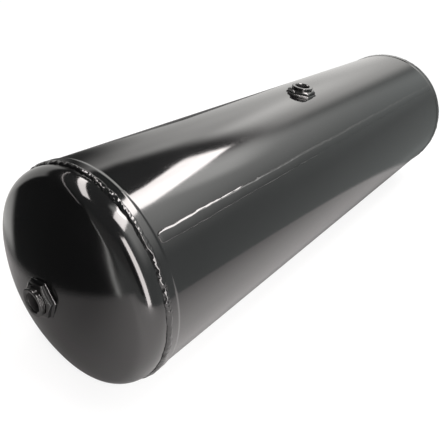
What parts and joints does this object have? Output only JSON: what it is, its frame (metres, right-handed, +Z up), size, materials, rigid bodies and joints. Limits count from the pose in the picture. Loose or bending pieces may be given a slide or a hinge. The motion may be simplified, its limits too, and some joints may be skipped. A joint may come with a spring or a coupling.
{
  "type": "horizontal compressed-air tank",
  "caption": "Horizontal welded steel air tank with dished ends, a threaded port in each end and one on top, for storing compressed air.",
  "frame": {"origin": "under the middle of the tank, on the lowest line of the two girth welds", "axes": "+X along the tank's length, +Z up through the top port, +Y to the side away from the seam weld"},
  "size_m": [0.927, 0.249, 0.258],
  "materials": {
    "shell_paint": "gloss black enamel on rolled steel plate",
    "head_paint": "gloss black enamel on pressed steel",
    "weld_paint": "gloss black enamel over a rippled weld bead",
    "boss_paint": "gloss black enamel over machined steel, bare dark thread"
  },
  "bodies": {
    "root": {"boss_weld_front": "weld_paint", "boss_weld_rear": "weld_paint", "boss_weld_top": "weld_paint", "girth_weld_front": "weld_paint", "girth_weld_rear": "weld_paint", "head_front": "head_paint", "head_rear": "head_paint", "port_boss_front": "boss_paint", "port_boss_rear": "boss_paint", "port_boss_top": "boss_paint", "seam_weld": "weld_paint", "shell_plate": "shell_paint"}
  },
  "joints": []
}
